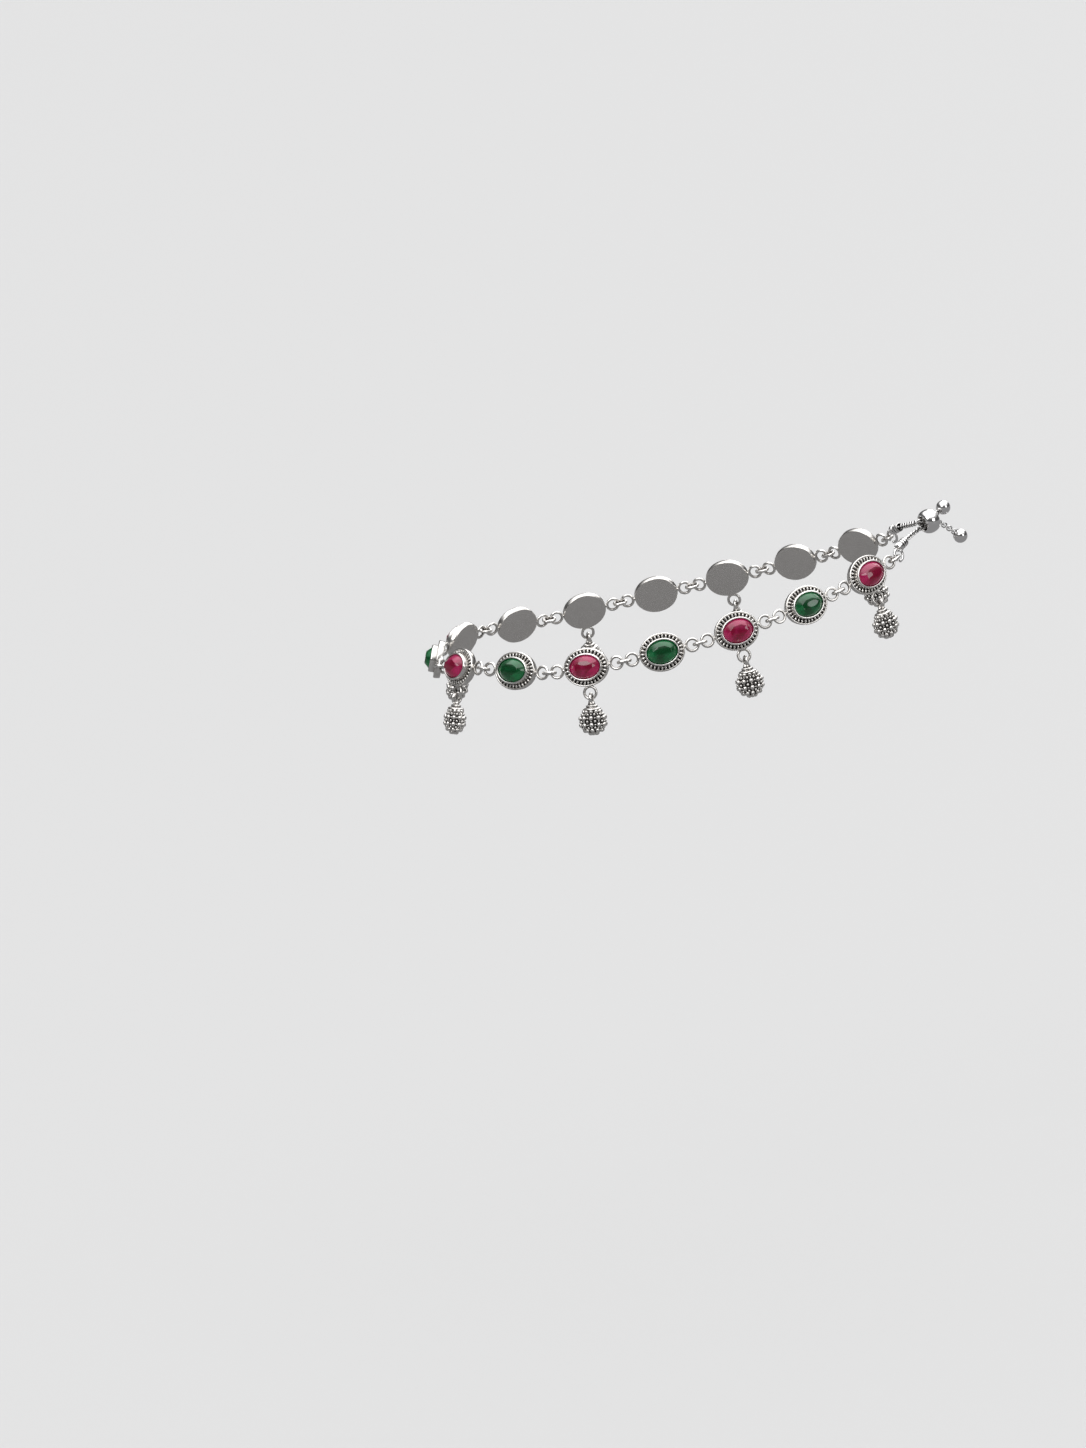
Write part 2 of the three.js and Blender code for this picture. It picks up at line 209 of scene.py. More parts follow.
plate = {
    "length": 9.5,
    "height": 8.0,
    "thickness": 1.4,
    "rim": 0.41,
    "channel": 0.7,
    "bezel": 0.46,
    "bezelHeight": 1.3,
    "channelDepth": 0.56,
    "lipOverhang": 0.1,
    "sides": 72,
    "grains": 30,
    "grainSize": (0.72, 0.44, 0.6),  # across the channel, along it and up
    "grainRound": 0.17,
    "grainMiddle": 0.42,
    "grainShade": (-0.2, 0.1),  # black below and bright above, from its middle
    "ringWire": 0.58,
    "ringDiameter": 3.1,
    "ringStandOff": 0.05,
    "lowerRingSink": 0.3,
    "solder": (0.42, 0.34, 0.3),
    "solderOut": 0.1,
    "solderTarnish": 0.15,
    "backTarnish": 0.22,
    "backBelow": 0.12,  # under the top of the rim
    "rimShine": 0.05,  # how far the rim's shine runs into the channel
    "channelShade": (0.35, 0.85),  # black below and bright above
}

link = {"span": 0.78, "wire": 0.7, "clearance": 0.2}

ringRadius = (plate["ringDiameter"] - plate["ringWire"]) / 2
ringOut = plate["length"] / 2 + plate["ringStandOff"] + plate["ringDiameter"] / 2
eyeReach = ringOut + ringRadius
lowerRingDown = plate["height"] / 2 - plate["lowerRingSink"] + plate["ringDiameter"] / 2
rimTop = plate["thickness"] / 2
bezelTop = rimTop + plate["bezelHeight"]
bezelFoot = plate["rim"] + plate["channel"]
bezelLip = bezelFoot + plate["bezel"]
bezelWall = bezelLip - plate["lipOverhang"]


# A point of the smooth curve through points, at a share from 0 to 1
def curvePoint(points, share, closed=False):
    count = len(points)
    place = share * (count if closed else count - 1)
    first = math.floor(place)
    if not closed:
        first = min(first, count - 2)
    weight = place - first
    second, third = points[first % count], points[(first + 1) % count]
    before = points[(first - 1) % count] if closed or first > 0 else second * 2 - third
    after = points[(first + 2) % count] if closed or first + 2 < count else third * 2 - second
    span = third - second
    strideIn = math.sqrt((second - before).length)
    stride = math.sqrt(span.length)
    strideOut = math.sqrt((after - third).length)
    leave = (second - before) / strideIn - (third - before) / (strideIn + stride) + span / stride
    reach = span / stride - (after - second) / (stride + strideOut) + (after - third) / strideOut
    leave, reach = leave * stride, reach * stride
    square = span * 3 - leave * 2 - reach
    cube = (second - third) * 2 + leave + reach
    return second + leave * weight + square * weight ** 2 + cube * weight ** 3


def makeLoopPoints():
    half = []
    for along, across, up, _ in loop["rows"]:
        half.append(Vector((along * loop["length"] / 2, -across * loop["width"] / 2, up * loop["rise"])))
    far = [Vector((point.x, -point.y, point.z)) for point in reversed(half[1:-1])]
    return half + far


loopPoints = makeLoopPoints()


def onLoop(share):
    return curvePoint(loopPoints, share % 1, closed=True)


def leanAt(share):
    leans = [lean for _, _, _, lean in loop["rows"]]
    place = (share if share <= 0.5 else 1 - share) * 2 * (len(leans) - 1)
    first = min(math.floor(place), len(leans) - 2)
    return math.radians(leans[first] + (leans[first + 1] - leans[first]) * (place - first))


# Where a function that falls through nought between two shares reaches it
def crossing(value, low, high):
    for _ in range(halvings):
        middle = (low + high) / 2
        if value(middle) > 0:
            low = middle
        else:
            high = middle
    return (low + high) / 2


def nextEye(share, distance):
    here = onLoop(share)
    furthest = share - distance / loop["width"]
    return crossing(lambda place: (onLoop(place) - here).length - distance, furthest, share)


# Shares of the loop at the wires that the links hold, from the front plate to the end cap
def nearEyes():
    eyes = [crossing(lambda place: -onLoop(place).y - eyeReach, 0.25, 0.5)]
    for _ in range(loop["platesEachSide"]):
        eyes.append(nextEye(eyes[-1], link["span"]))
        eyes.append(nextEye(eyes[-1], 2 * eyeReach))
    eyes.append(nextEye(eyes[-1], link["span"]))
    return eyes


def makeFrame(across, up, outward, origin):
    matrix = Matrix((across, up, outward)).transposed().to_4x4()
    matrix.translation = origin
    return matrix


# x along a way, z level to the right of it and then leaned back, and y up
def leaningFrame(origin, along, lean):
    level = Vector((along.y, -along.x, 0)).normalized()
    outward = level * math.cos(lean) + level.cross(along) * math.sin(lean)
    return makeFrame(along, outward.cross(along), outward, origin)


# A piece held between two places: x to the right seen from outside, y up, z outward
def heldFrame(start, end):
    first, last = onLoop(start), onLoop(end)
    along = (last - first).normalized()
    middle = (first + last) / 2
    if along.y * middle.x < along.x * middle.y:
        along.negate()
    return leaningFrame(middle, along, leanAt((start + end) / 2))


def placePiece(master, name, matrix, node):
    piece = copyMesh(master, name, Matrix.Scale(mm, 4) @ matrix)
    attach(piece, "root")
    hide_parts(node)


# The camera stands where the photograph's did
camera = {"aim": (-27.69, 0, -26.35), "distance": 1200, "elevation": 12, "lens": 141.09, "sensor": 36}


def makeCamera():
    elevation = math.radians(camera["elevation"])
    back = Vector((0, -math.cos(elevation), math.sin(elevation)))
    bpy.ops.object.camera_add(location=(Vector(camera["aim"]) + back * camera["distance"]) * mm)
    eye = bpy.context.object
    eye.rotation_mode = "QUATERNION"
    eye.rotation_quaternion = (-back).to_track_quat("-Z", "Y")
    eye.data.lens = camera["lens"]
    eye.data.sensor_width = camera["sensor"]
    bpy.context.scene.camera = eye


makeCamera()
print("camera in place")


# Shader helpers

def newGroup(name, inputs, outputs):
    group = bpy.data.node_groups.new(name, "ShaderNodeTree")
    for label, kind, value in inputs:
        socket = group.interface.new_socket(label, in_out="INPUT", socket_type=kind)
        socket.default_value = value
    for label, kind in outputs:
        group.interface.new_socket(label, in_out="OUTPUT", socket_type=kind)
    entry = group.nodes.new("NodeGroupInput")
    leave = group.nodes.new("NodeGroupOutput")
    return group, entry, leave


def addNode(tree, kind, **values):
    node = tree.nodes.new(kind)
    for label, value in values.items():
        setattr(node, label, value)
    return node


def setInputs(node, values):
    for label, value in values.items():
        node.inputs[label].default_value = value


def noiseNode(tree, scale, detail=3, roughness=0.5):
    place = addNode(tree, "ShaderNodeTexCoord")
    noise = addNode(tree, "ShaderNodeTexNoise")
    setInputs(noise, {"Scale": scale, "Detail": detail, "Roughness": roughness})
    tree.links.new(place.outputs["Object"], noise.inputs["Vector"])
    return noise


def rangeNode(tree, source, low, high):
    node = addNode(tree, "ShaderNodeMapRange", interpolation_type="SMOOTHSTEP")
    setInputs(node, {"From Min": low, "From Max": high})
    tree.links.new(source, node.inputs["Value"])
    return node


# Plugs a socket in when it is one, and sets the value when it isn't
def feed(tree, value, socket):
    if isinstance(value, bpy.types.NodeSocket):
        tree.links.new(value, socket)
    else:
        socket.default_value = value


def mathNode(tree, operation, first, second):
    node = addNode(tree, "ShaderNodeMath", operation=operation, use_clamp=True)
    feed(tree, first, node.inputs[0])
    feed(tree, second, node.inputs[1])
    return node.outputs[0]


# The mix node has its colours in sockets 6 and 7, and its plain values in 2 and 3
def mixColour(tree, share, first, second):
    node = addNode(tree, "ShaderNodeMix", data_type="RGBA")
    feed(tree, share, node.inputs["Factor"])
    feed(tree, first, node.inputs[6])
    feed(tree, second, node.inputs[7])
    return node.outputs[2]


def mixValue(tree, share, first, second):
    node = addNode(tree, "ShaderNodeMix", data_type="FLOAT")
    feed(tree, share, node.inputs[0])
    feed(tree, first, node.inputs[2])
    feed(tree, second, node.inputs[3])
    return node.outputs[0]


oxideLook = {
    "scale": 900,
    "dark": (0.35, 0.85),  # painted tarnish at which the black starts and is full
    "film": (0.08, 0.7),
}


# Where the black oxide stays: deep places hold it, polished ones keep only a trace
def makeOxideGroup():
    outputs = [("Dark", "NodeSocketFloat"), ("Film", "NodeSocketFloat")]
    group, entry, leave = newGroup("silverOxide", [("Spread", "NodeSocketFloat", 0)], outputs)
    deep = addNode(group, "ShaderNodeAttribute", attribute_name="tarnish")
    noise = noiseNode(group, oxideLook["scale"])
    swing = mathNode(group, "MULTIPLY", noise.outputs["Fac"], entry.outputs["Spread"])
    raised = mathNode(group, "ADD", deep.outputs["Fac"], swing)
    dark = rangeNode(group, raised, *oxideLook["dark"])
    film = rangeNode(group, raised, *oxideLook["film"])
    group.links.new(dark.outputs[0], leave.inputs["Dark"])
    group.links.new(film.outputs[0], leave.inputs["Film"])
    return group


marksLook = {
    "waveScale": 1500,
    "rubScale": 9000,
    "rubShare": 0.25,  # of the height, the rest is the waviness
    "rubbed": (0.4, 0.7),
}


# Fine handling marks: soft waviness of the casting and hairline rubs
def makeMarksGroup():
    outputs = [("Height", "NodeSocketFloat"), ("Rubbed", "NodeSocketFloat")]
    group, _, leave = newGroup("handlingMarks", [], outputs)
    wave = noiseNode(group, marksLook["waveScale"], detail=2)
    rub = noiseNode(group, marksLook["rubScale"], detail=4, roughness=0.7)
    height = mixValue(group, marksLook["rubShare"], wave.outputs["Fac"], rub.outputs["Fac"])
    rubbed = rangeNode(group, rub.outputs["Fac"], *marksLook["rubbed"])
    group.links.new(height, leave.inputs["Height"])
    group.links.new(rubbed.outputs[0], leave.inputs["Rubbed"])
    return group


oxideGroup = makeOxideGroup()
marksGroup = makeMarksGroup()


def placeGroup(tree, group, **values):
    node = addNode(tree, "ShaderNodeGroup", node_tree=group)
    setInputs(node, values)
    return node


def newMaterial(name):
    material = bpy.data.materials.new(name)
    material.use_nodes = True
    tree = material.node_tree
    return material, tree, tree.nodes["Principled BSDF"]


def bumpInto(tree, height, shader, strength, depth):
    bump = addNode(tree, "ShaderNodeBump")
    setInputs(bump, {"Strength": strength, "Distance": depth})
    tree.links.new(height, bump.inputs["Height"])
    tree.links.new(bump.outputs["Normal"], shader.inputs["Normal"])


oxidisedLook = {
    "name": "oxidisedSilver",
    "silver": (0.84, 0.82, 0.79, 1),
    "film": (0.45, 0.42, 0.39, 1),
    "oxide": (0.014, 0.012, 0.011, 1),
    "polishedRoughness": 0.2,
    "rubbedRoughness": 0.3,
    "oxideRoughness": 0.6,
    "oxideMetal": 0.25,
    "spread": 0.14,
    "bump": 0.35,
    "bumpDepth": 0.00003,
}

polishedLook = {
    "name": "polishedSilver",
    "silver": (0.9, 0.89, 0.88, 1),
    "film": (0.55, 0.53, 0.5, 1),
    "oxide": (0.02, 0.018, 0.017, 1),
    "polishedRoughness": 0.07,
    "rubbedRoughness": 0.14,
    "oxideRoughness": 0.5,
    "spread": 0.12,
    "bump": 0.12,
    "bumpDepth": 0.00002,
}


# What both silvers share, with the socket that says where the oxide is black
def newSilver(look):
    material, tree, shader = newMaterial(look["name"])
    oxide = placeGroup(tree, oxideGroup, Spread=look["spread"])
    marks = placeGroup(tree, marksGroup)
    aged = mixColour(tree, oxide.outputs["Film"], look["silver"], look["film"])
    colour = mixColour(tree, oxide.outputs["Dark"], aged, look["oxide"])
    tree.links.new(colour, shader.inputs["Base Color"])
    rubbed = mixValue(tree, marks.outputs["Rubbed"], look["polishedRoughness"], look["rubbedRoughness"])
    roughness = mixValue(tree, oxide.outputs["Dark"], rubbed, look["oxideRoughness"])
    tree.links.new(roughness, shader.inputs["Roughness"])
    bumpInto(tree, marks.outputs["Height"], shader, look["bump"], look["bumpDepth"])
    return material, tree, shader, oxide.outputs["Dark"]


def makeOxidisedSilver():
    material, tree, shader, dark = newSilver(oxidisedLook)
    metal = mixValue(tree, dark, 1.0, oxidisedLook["oxideMetal"])
    tree.links.new(metal, shader.inputs["Metallic"])
    return material


def makePolishedSilver():
    material, _, shader, _ = newSilver(polishedLook)
    setInputs(shader, {"Metallic": 1})
    return material


# What both colours of stone share
stoneLook = {
    "facetShare": 0.65,  # share of the painted shade taken from the facets, the rest from the depth mask
    "cloudScale": 520,
    "cloudRoughness": 0.45,
    "clouds": (0.45, 0.7),
    "cloudAmount": 0.25,
    "finish": {"Roughness": 0.08, "IOR": 1.55, "Coat Weight": 0.25, "Coat Roughness": 0.03},
}


# The stone's colour with painted light: painted shade darkens its middle and leaves the rim lighter, as
# if lit through the thin edge, painted reflections make the facets lighter and darker in turn, and
# cloudy patches vary it at random
def makeStoneGroup():
    colours = [(label, "NodeSocketColor", (1, 1, 1, 1)) for label in ("Rim", "Core", "Cloud")]
    group, entry, leave = newGroup("stoneColourAndPaintedLight", colours, [("Color", "NodeSocketColor")])
    depth = addNode(group, "ShaderNodeAttribute", attribute_name="depth")
    # Painted reflections: the table dark, and the facets round it lighter and darker in turn
    paintedFacetLight = addNode(group, "ShaderNodeAttribute", attribute_name="paintedFacetLight")
    paintedShade = mixValue(group, stoneLook["facetShare"], depth.outputs["Fac"], paintedFacetLight.outputs["Fac"])
    noise = noiseNode(group, stoneLook["cloudScale"], detail=2, roughness=stoneLook["cloudRoughness"])
    patches = rangeNode(group, noise.outputs["Fac"], *stoneLook["clouds"])
    amount = mathNode(group, "MULTIPLY", patches.outputs[0], stoneLook["cloudAmount"])
    # Painted shade: the rim colour darkens towards the core colour over the middle, the table and the
    # darker facets
    body = mixColour(group, paintedShade, entry.outputs["Rim"], entry.outputs["Core"])
    colour = mixColour(group, amount, body, entry.outputs["Cloud"])
    group.links.new(colour, leave.inputs["Color"])
    return group


stoneGroup = makeStoneGroup()

rubyLook = {
    "name": "rubyStone",
    "rim": (0.4, 0.008, 0.085, 1),
    # core: a painted shade, the dark middle seen through the table
    "core": (0.12, 0.0, 0.01, 1),
    "cloud": (0.46, 0.03, 0.15, 1),
}

greenLook = {
    "name": "greenStone",
    "rim": (0.002, 0.13, 0.035, 1),
    # core: a painted shade, the dark middle seen through the table
    "core": (0.001, 0.025, 0.006, 1),
    "cloud": (0.01, 0.2, 0.07, 1),
}


def makeStoneMaterial(look):
    material, tree, shader = newMaterial(look["name"])
    body = placeGroup(tree, stoneGroup, Rim=look["rim"], Core=look["core"], Cloud=look["cloud"])
    tree.links.new(body.outputs["Color"], shader.inputs["Base Color"])
    setInputs(shader, stoneLook["finish"])
    return material


oxidisedSilver = makeOxidisedSilver()
polishedSilver = makePolishedSilver()
rubyGlass = makeStoneMaterial(rubyLook)
greenGlass = makeStoneMaterial(greenLook)
print("materials made")


# Plates

def plateTarnish(point):
    reach = math.hypot(point.x / (plate["length"] / 2), point.y / (plate["height"] / 2))
    inset = (1 - reach) * plate["height"] / 2
    if point.z < rimTop - plate["backBelow"] and inset < plate["rim"]:
        return plate["backTarnish"]
    if inset < plate["rim"] + plate["rimShine"]:
        return 0
    return 1 - between(*plate["channelShade"], point.z)


def makePlateBody():
    channelFloor = rimTop - plate["channelDepth"]
    rows = [
        (0.32, -rimTop),
        (0.2, -rimTop + 0.03),
        (0.12, -rimTop + 0.12),
        (0.02, rimTop - 0.5),
        (0, rimTop - 0.2),
        (0.03, rimTop - 0.08),
        (0.1, rimTop - 0.01),
        (0.2, rimTop + 0.02),
        (0.3, rimTop - 0.01),
        (0.37, rimTop - 0.08),
        (0.41, rimTop - 0.2),
        (0.44, rimTop - 0.48),
        (0.52, channelFloor),
        (bezelFoot - 0.1, channelFloor),
        (bezelFoot - 0.02, rimTop - 0.48),
        (bezelFoot, rimTop - 0.1),
        (bezelFoot + 0.02, bezelTop - 0.3),
        (bezelFoot + 0.06, bezelTop - 0.12),
        (bezelFoot + 0.14, bezelTop - 0.03),
        (bezelFoot + 0.24, bezelTop),
        (bezelFoot + 0.34, bezelTop - 0.02),
        (bezelFoot + 0.42, bezelTop - 0.09),
        (bezelLip, bezelTop - 0.2),
        (bezelLip - 0.02, bezelTop - 0.5),
        (bezelWall, rimTop),
        (bezelLip, rimTop - 0.2),
    ]
    body = turnUp(plate["length"], plate["height"], rows, plate["sides"])
    smooth(body, "turned")
    paintTarnish(body, plateTarnish)
    return body


# Angles that space things evenly along an oval
def evenTurns(halfLength, halfWidth, count, steps=720):
    lengths = [0.0]
    for step in range(steps):
        angle = 2 * math.pi * (step + 0.5) / steps
        piece = math.hypot(halfLength * math.sin(angle), halfWidth * math.cos(angle))
        lengths.append(lengths[-1] + piece)
    turns = []
    step = 0
    for number in range(count):
        wanted = lengths[-1] * (number + 0.5) / count
        while lengths[step + 1] < wanted:
            step += 1
        turns.append(2 * math.pi * step / steps)
    return turns


def makeGrain():
    bpy.ops.mesh.primitive_cube_add(size=1, scale=plate["grainSize"])
    grain = bpy.context.object
    applyAll(grain)
    startEdit(grain)
    bpy.ops.mesh.bevel(offset=plate["grainRound"], segments=2)
    endEdit()
    smooth(grain, "bead")
    paintTarnish(grain, lambda point: 1 - between(*plate["grainShade"], point.z))
    return grain


def makeGrains():
    grain = makeGrain()
    inset = plate["rim"] + plate["channel"] / 2
    halfLength = plate["length"] / 2 - inset
    halfWidth = plate["height"] / 2 - inset
    made = []
    for number, turn in enumerate(evenTurns(halfLength, halfWidth, plate["grains"])):
        spot = Vector((halfLength * math.cos(turn), halfWidth * math.sin(turn), plate["grainMiddle"]))
        facing = math.atan2(math.sin(turn) / halfWidth, math.cos(turn) / halfLength)
        matrix = Matrix.Translation(spot) @ Matrix.Rotation(facing, 4, "Z")
        made.append(copyMesh(grain, f"grain{number}", matrix))
    bpy.data.objects.remove(grain)
    return made


wireOxide = {"least": 0.08, "added": 0.5, "starts": 0.02, "full": 0.22}


# A ring of wire is rubbed bright outside and keeps some oxide inside
def wireTarnish(radius, reach):
    inward = between(radius - wireOxide["starts"], radius - wireOxide["full"], reach)
    return wireOxide["least"] + wireOxide["added"] * inward


def paintWire(piece, middle, radius):
    middle = Vector(middle)
    paintTarnish(piece, lambda point: wireTarnish(radius, (point - middle).length))


def makePlate(withLowerRing):
    parts = [makePlateBody(), *makeGrains()]
    spots = [(-ringOut, 0, 0), (ringOut, 0, 0)]
    if withLowerRing:
        spots.append((0, -lowerRingDown, 0))
    for spot in spots:
        ring = wireRing(ringRadius, plate["ringWire"], spot)
        smooth(ring)
        paintWire(ring, spot, ringRadius)
        parts.append(ring)
    solderOut = plate["length"] / 2 + plate["ringStandOff"] + plate["solderOut"]
    for side in (-1, 1):
        solder = beadAt(plate["solder"], (side * solderOut, 0, 0), 16, 10)
        paintTarnish(solder, lambda point: plate["solderTarnish"])
        parts.append(solder)
    made = joinPieces(parts, "rubyPlate" if withLowerRing else "greenPlate")
    setMaterial(made, oxidisedSilver)
    return made


# Stones
stone = {
    "gap": 0.16,
    "bottom": 1.3,
    "bottomNarrower": 0.5,
    "girdle": 1.75,
    "girdleBand": 0.1,
    "breakInset": 0.58,
    "breakHeight": 2.5,
    "top": 3.03,
    "table": 0.52,
    "tableStretch": 1.25,
    "mainFacets": 8,
    "girdleSides": 32,
    "edge": 0.05,
    "edgeAngle": 9,  # a sharper edge than this, in degrees, is softened
    "coreShadeShares": (0.45, 0.95),  # full painted shade inside the first, and the lighter rim outside the second
    "tableNormal": 0.99,
    # How dark the table's painted reflection is, and how far the facets' painted reflections swing
    # lighter and darker
    "tableShadeTone": 0.9,
    "facetLightAndShade": 0.45,
    "facetWaves": 3,
    "facetStart": 1,
}


def stoneRing(length, width, height, count, turn=0):
    bpy.ops.mesh.primitive_circle_add(vertices=count)
    piece = bpy.context.object
    startEdit(piece)
    if turn:
        rotate("Z", turn)
    stretch(length / 2, width / 2, 1)
    move(0, 0, height)
    endEdit()
    return piece


# Paints the mask of painted shade: full over the middle and none at the girdle, where the rim is left
# lighter as if lit through
def paintCoreShade(piece, halfLength, halfWidth):
    layer = piece.data.attributes.new("depth", "FLOAT", "POINT")
    for point, vertex in zip(layer.data, piece.data.vertices):
        reach = math.hypot(vertex.co.x / halfLength, vertex.co.y / halfWidth)
        point.value = 1 - between(*stone["coreShadeShares"], reach)


# Painted reflections on the facets: the table is painted dark, and the facets round it lighter and
# darker in turn by the way they face
def paintFacetLight(piece):
    layer = piece.data.attributes.new("paintedFacetLight", "FLOAT", "FACE")
    for face, polygon in zip(layer.data, piece.data.polygons):
        turned = math.atan2(polygon.normal.y, polygon.normal.x)
        swing = math.sin(stone["facetWaves"] * turned + stone["facetStart"])
        isTable = polygon.normal.z > stone["tableNormal"]
        face.value = stone["tableShadeTone"] if isTable else stone["facetLightAndShade"] * (1 + swing)


def makeStone(material):
    length = plate["length"] - 2 * (bezelWall + stone["gap"])
    width = plate["height"] - 2 * (bezelWall + stone["gap"])
    narrower = stone["bottomNarrower"]
    table = stone["table"]
    band = stone["girdleBand"] / 2
    facets = stone["mainFacets"]
    half = math.pi / facets
    inset = 2 * stone["breakInset"]
    rings = [
        stoneRing(length - narrower, width - narrower, stone["bottom"], stone["girdleSides"]),
        stoneRing(length, width, stone["girdle"] - band, stone["girdleSides"]),
        stoneRing(length, width, stone["girdle"] + band, stone["girdleSides"]),
        stoneRing(length - inset, width - inset, stone["breakHeight"], facets),
        stoneRing(length * table * stone["tableStretch"], width * table, stone["top"], facets, half),
    ]
    made = joinPieces(rings, "stone")
    startEdit(made)
    bpy.ops.mesh.convex_hull()
    endEdit()
    tidyShell(made)
    bevelEdges(made, stone["edge"], stone["edgeAngle"])
    smooth(made, "stone")
    paintCoreShade(made, length / 2, width / 2)
    paintFacetLight(made)
    setMaterial(made, material)
    return made


# Links

def makeLink():
    radius = plate["ringWire"] / 2 + link["clearance"] + link["wire"] / 2
    made = wireRing(radius, link["wire"], segments=32, sides=14)
    for side in (-1, 1):
        pickVertices(made, lambda point: point.x * side > smallest)
        move(side * link["span"] / 2, 0, 0)
        endEdit()
    startEdit(made)
    rotate("X", math.pi / 2)
    endEdit()
    smooth(made)

    def linkTarnish(point):
        beside = max(0, abs(point.x) - link["span"] / 2)
        return wireTarnish(radius, math.hypot(beside, point.z))

    paintTarnish(made, linkTarnish)
    setMaterial(made, oxidisedSilver)
    return made


# Berry drops
drop = {
    "wire": 0.7,
    "clearance": 0.3,
    "width": 6.3,
    "height": 6.1,
    "depth": 4.3,
    "below": 4.6,  # middle of the bail to the middle of the berry
    "follow": 0.6,  # how much of its plate's lean the drop takes
    "coreSunk": 1.1,  # in radii of a large granule, like the seam's
    "seamSunk": 0.75,
    "rubbed": 0.1,  # tarnish of its plain metal
    "granuleShade": 0.15,
    "columns": 10,
    "largeTurn": 0.5,  # shares of a column, so that a large granule faces straight out
    "smallTurn": 0,
    "large": 0.5,
    "small": 0.3,
    "tiny": 0.2,
    "largeRows": (50, 15, -17, -47),  # latitudes
    "filledRows": (15, -17),
    "smallRows": (33, -1, -32),
    "seam": 0.4,
    "tipRow": -74,
    "tipCount": 6,
    "collar": 3.8,
    "collarOval": 0.84,  # depth as a share of the width
    "collarSunk": 0.75,
    "collarHeight": 1.62,
    "collarLines": (0.6, 1.14),  # heights of its black grooves
    "lineShade": (0.02, 0.12),
    "footShade": 0.1,
    "neck": 2.2,
    "lump": 0.26,
    "lumpOut": 0.42,
}


def berrySpot(latitude, turn, sunk):
    across = (drop["width"] / 2 - sunk) * math.cos(latitude) * math.cos(turn)
    out = (drop["depth"] / 2 - sunk) * math.cos(latitude) * math.sin(turn)
    return Vector((across, out, (drop["height"] / 2 - sunk) * math.sin(latitude) - drop["below"]))


# Turns a granule so that its top faces away from the berry
def granuleFrame(latitude, turn, sunk):
    spot = berrySpot(latitude, turn, sunk)
    outward = Vector((
        math.cos(latitude) * math.cos(turn) / drop["width"],
        math.cos(latitude) * math.sin(turn) / drop["depth"],
        math.sin(latitude) / drop["height"],
    ))
    return Matrix.Translation(spot) @ outward.to_track_quat("Z", "Y").to_matrix().to_4x4()


def makeGranule(radius, segments, rings):
    made = beadAt((radius, radius, radius), (0, 0, 0), segments, rings)
    shade = drop["granuleShade"]
    paintTarnish(made, lambda point: 1 - between(-shade, shade, point.z / radius))
    return made


def granuleRow(master, latitude, count, offset):
    made = []
    for number in range(count):
        turn = 2 * math.pi * (number + offset) / count
        frameHere = granuleFrame(math.radians(latitude), turn, drop["large"])
        made.append(copyMesh(master, f"granule{latitude}x{number}", frameHere))
    return made


def makeGranules():
    large = makeGranule(drop["large"], 10, 6)
    small = makeGranule(drop["small"], 8, 5)
    tiny = makeGranule(drop["tiny"], 8, 5)
    made = granuleRow(large, drop["tipRow"], drop["tipCount"], drop["largeTurn"])
    for latitude in drop["largeRows"]:
        made += granuleRow(large, latitude, drop["columns"], drop["largeTurn"])
    for latitude in drop["filledRows"]:
        made += granuleRow(tiny, latitude, drop["columns"], drop["smallTurn"])
    for latitude in drop["smallRows"]:
        made += granuleRow(small, latitude, drop["columns"], drop["smallTurn"])
        made += granuleRow(tiny, latitude, drop["columns"], drop["largeTurn"])
    for master in (large, small, tiny):
        bpy.data.objects.remove(master)
    return made


def makeBerryCore():
    sunk = drop["large"] * drop["coreSunk"]
    size = (drop["width"] / 2 - sunk, drop["depth"] / 2 - sunk, drop["height"] / 2 - sunk)
    core = beadAt(size, (0, 0, -drop["below"]), 32, 20)
    paintTarnish(core, lambda point: 1)
    return core


# The bright edge where the two stamped halves of the berry meet
def makeSeam():
    wire = drop["seam"]
    sunk = drop["large"] * drop["seamSunk"] + wire / 2
    seam = wireRing(drop["width"] / 2 - sunk, wire, turn=(math.pi / 2, 0, 0), segments=48, sides=8)
    startEdit(seam)
    tall = (drop["height"] / 2 - sunk) / (drop["width"] / 2 - sunk)
    stretch(1, 1, tall)
    move(0, 0, -drop["below"])
    endEdit()
    smooth(seam)
    paintTarnish(seam, lambda point: drop["rubbed"])
    return seam


def makeCollar():
    base = drop["height"] / 2 - drop["below"] - drop["collarSunk"]
    wide = drop["collar"]
    step = (wide - drop["neck"]) / 2
    profile = [
        (0.7, -0.2),
        (0.1, 0.0),
        (0, 0.1),
        (0.02, 0.22),
        (0.14, 0.34),
        (0.4, 0.42),
        (0.68, 0.5),
        (0.72, 0.6),
        (step - 0.12, 0.68),
        (step - 0.16, 0.8),
        (step - 0.1, 0.92),
        (step + 0.06, 1.0),
        (step + 0.28, 1.04),
        (step + 0.3, 1.14),
        (step + 0.36, 1.4),
        (step + 0.5, drop["collarHeight"]),
    ]
    rows = [(inset, base + height) for inset, height in profile]
    collar = turnUp(wide, wide * drop["collarOval"], rows, 32)
    smooth(collar, "turned")
    darkLines = [base + height for height in drop["collarLines"]]
    shade = drop["footShade"]

    def collarTarnish(point):
        near = min(abs(point.z - line) for line in darkLines)
        groove = 1 - between(*drop["lineShade"], near)
        foot = 1 - between(base - shade, base + shade, point.z)
        return max(drop["rubbed"], groove, foot)

    paintTarnish(collar, collarTarnish)
    top = Vector((0, 0, base + drop["collarHeight"]))
    lumps = []
    for turn in (0, math.pi / 2, math.pi, 3 * math.pi / 2):
        out = Vector((math.cos(turn), math.sin(turn), 0)) * drop["lumpOut"]
        lump = beadAt((drop["lump"],) * 3, out + top, 12, 8)
        paintTarnish(lump, lambda point: drop["rubbed"])
        lumps.append(lump)
    return joinPieces([collar, *lumps], "collar")


